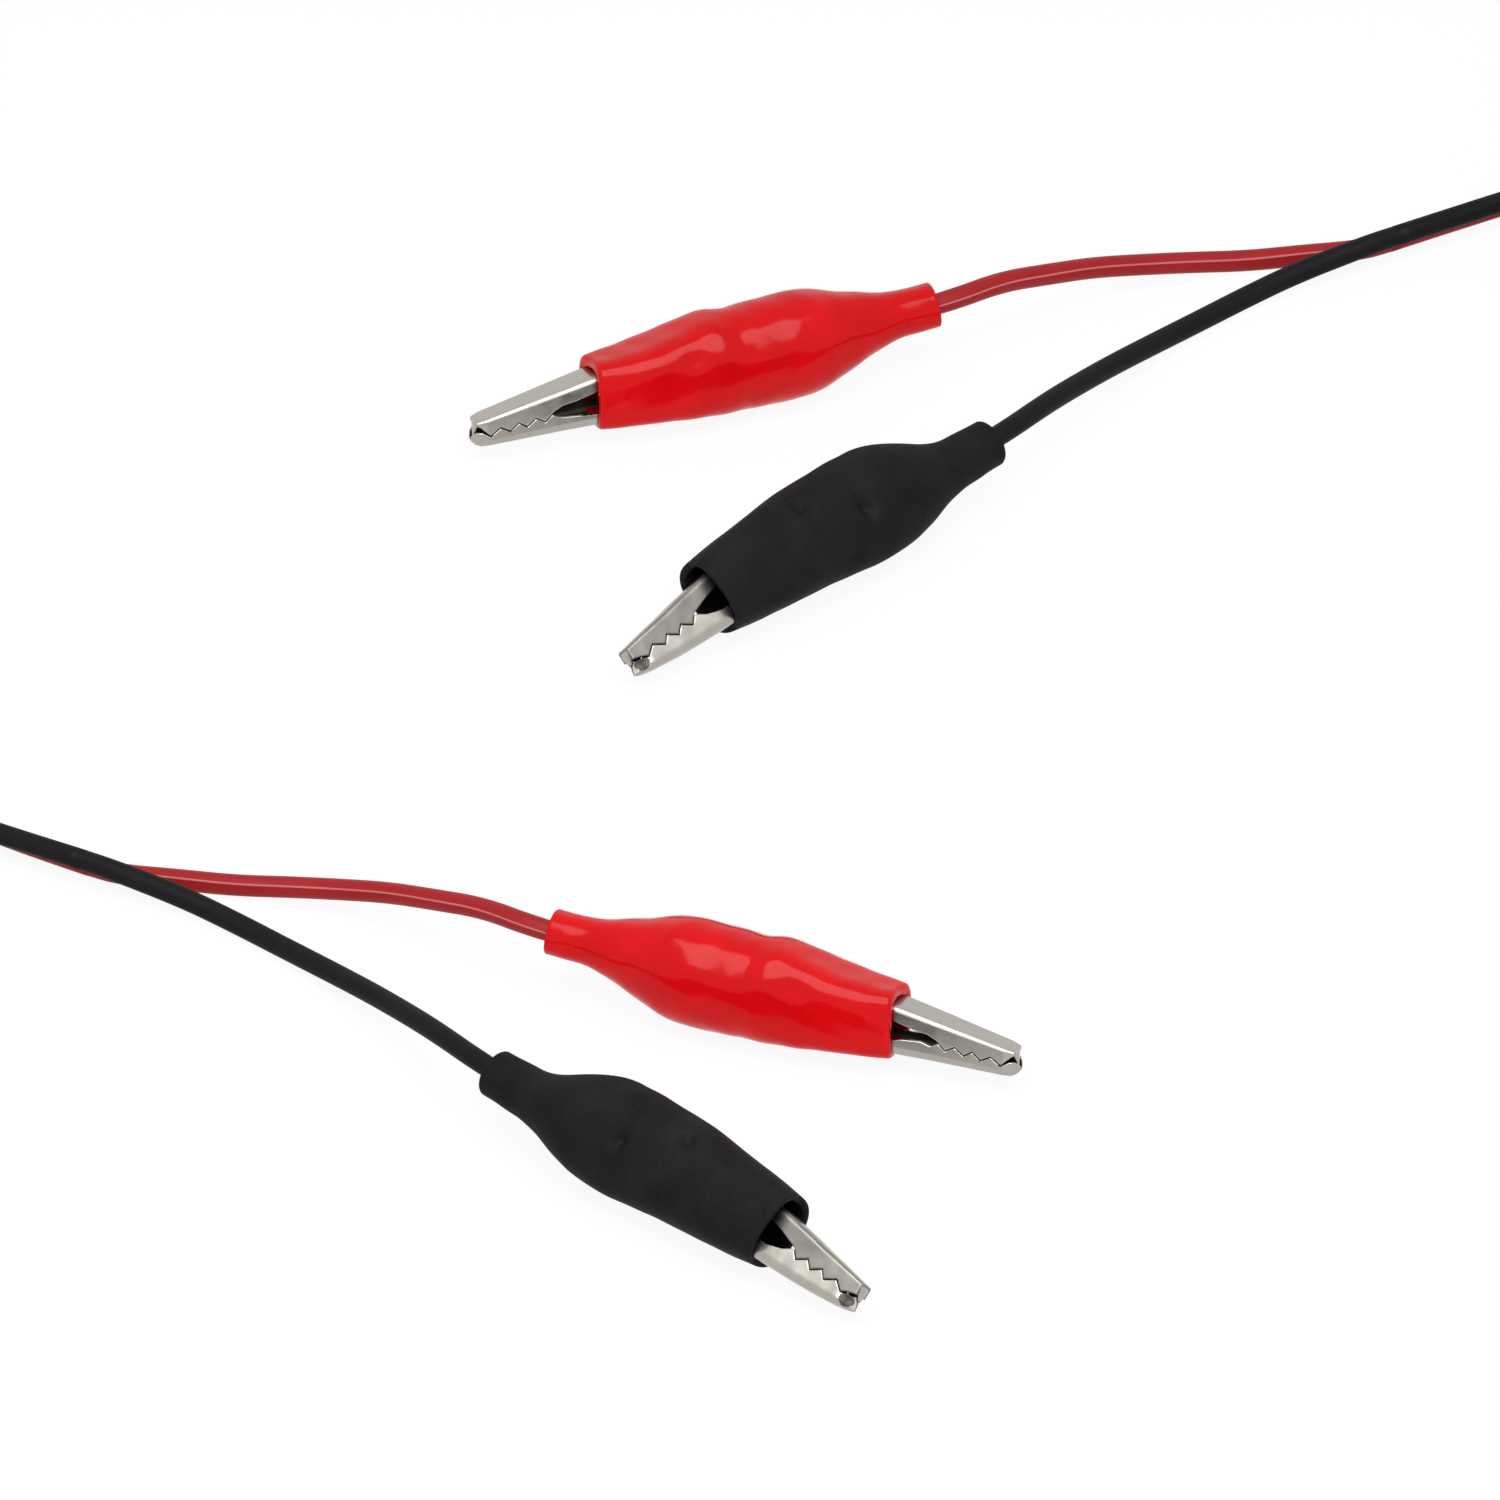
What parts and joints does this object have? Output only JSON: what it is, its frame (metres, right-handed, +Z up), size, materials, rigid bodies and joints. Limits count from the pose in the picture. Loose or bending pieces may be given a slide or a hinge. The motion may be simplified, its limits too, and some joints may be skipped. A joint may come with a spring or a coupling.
{
  "type": "alligator clip test lead",
  "caption": "Double-ended test lead: red and black insulated spring crocodile clips on a twin flex that splits into separate wires at each end and is coiled in the middle.",
  "frame": {"origin": "middle of the box round the clips, on the surface the lead lies on", "axes": "+Z up off the surface; +Y from one end of the lead towards the other, along which the pairs of clips are set apart; +X to the side where the coil lies"},
  "size_m": [0.2291, 0.2434, 0.0117],
  "materials": {
    "red_sleeve": "flexible PVC, glossy red",
    "black_sleeve": "flexible PVC, satin black",
    "jaw_steel": "nickel-plated pressed steel, satin",
    "pin_steel": "plated rivet",
    "spring_steel": "drawn spring wire",
    "copper": "bare copper strands",
    "red_wire": "flexible PVC, soft sheen",
    "black_wire": "flexible PVC, satin black",
    "twin_flex": "flexible PVC, a red core and a black core side by side",
    "tie": "soft plastic-covered wire tie"
  },
  "bodies": {
    "lead": {"red_1_sleeve": "red_sleeve", "red_1_fixed_jaw": "jaw_steel", "red_1_pivot_pin": "pin_steel", "red_1_spring": "spring_steel", "red_1_strands": "copper", "red_1_leg": "red_wire", "black_1_sleeve": "black_sleeve", "black_1_fixed_jaw": "jaw_steel", "black_1_pivot_pin": "pin_steel", "black_1_spring": "spring_steel", "black_1_strands": "copper", "black_1_leg": "black_wire", "red_2_sleeve": "red_sleeve", "red_2_fixed_jaw": "jaw_steel", "red_2_pivot_pin": "pin_steel", "red_2_spring": "spring_steel", "red_2_strands": "copper", "red_2_leg": "red_wire", "black_2_sleeve": "black_sleeve", "black_2_fixed_jaw": "jaw_steel", "black_2_pivot_pin": "pin_steel", "black_2_spring": "spring_steel", "black_2_strands": "copper", "black_2_leg": "black_wire", "twin_start": "twin_flex", "twin_end": "twin_flex", "coil": "twin_flex", "coil_tie": "tie"},
    "red_1_upper_jaw": {"red_1_moving_jaw": "jaw_steel"},
    "black_1_upper_jaw": {"black_1_moving_jaw": "jaw_steel"},
    "red_2_upper_jaw": {"red_2_moving_jaw": "jaw_steel"},
    "black_2_upper_jaw": {"black_2_moving_jaw": "jaw_steel"}
  },
  "joints": [
    {"name": "red_1_jaw_hinge", "type": "hinge", "parent": "lead", "child": "red_1_upper_jaw", "pos_m": [-0.00847, 0.07403, 0.00504], "axis": [-0.3043, 0.912, -0.275], "range_deg": [0, 21], "stiffness_Nm_per_rad": 0.08, "springref_deg": -34.38, "deforming": ["red_1_spring", "red_1_sleeve"]},
    {"name": "black_1_jaw_hinge", "type": "hinge", "parent": "lead", "child": "black_1_upper_jaw", "pos_m": [0.00322, 0.03998, 0.00511], "axis": [-0.4148, 0.5276, -0.7413], "range_deg": [0, 21], "stiffness_Nm_per_rad": 0.08, "springref_deg": -34.38, "deforming": ["black_1_spring", "black_1_sleeve"]},
    {"name": "red_2_jaw_hinge", "type": "hinge", "parent": "lead", "child": "red_2_upper_jaw", "pos_m": [0.00847, -0.03797, 0.00504], "axis": [-0.3043, -0.912, 0.275], "range_deg": [0, 21], "stiffness_Nm_per_rad": 0.08, "springref_deg": -34.38, "deforming": ["red_2_spring", "red_2_sleeve"]},
    {"name": "black_2_jaw_hinge", "type": "hinge", "parent": "lead", "child": "black_2_upper_jaw", "pos_m": [-0.00322, -0.07202, 0.00511], "axis": [-0.4148, -0.5276, 0.7413], "range_deg": [0, 21], "stiffness_Nm_per_rad": 0.08, "springref_deg": -34.38, "deforming": ["black_2_spring", "black_2_sleeve"]}
  ]
}
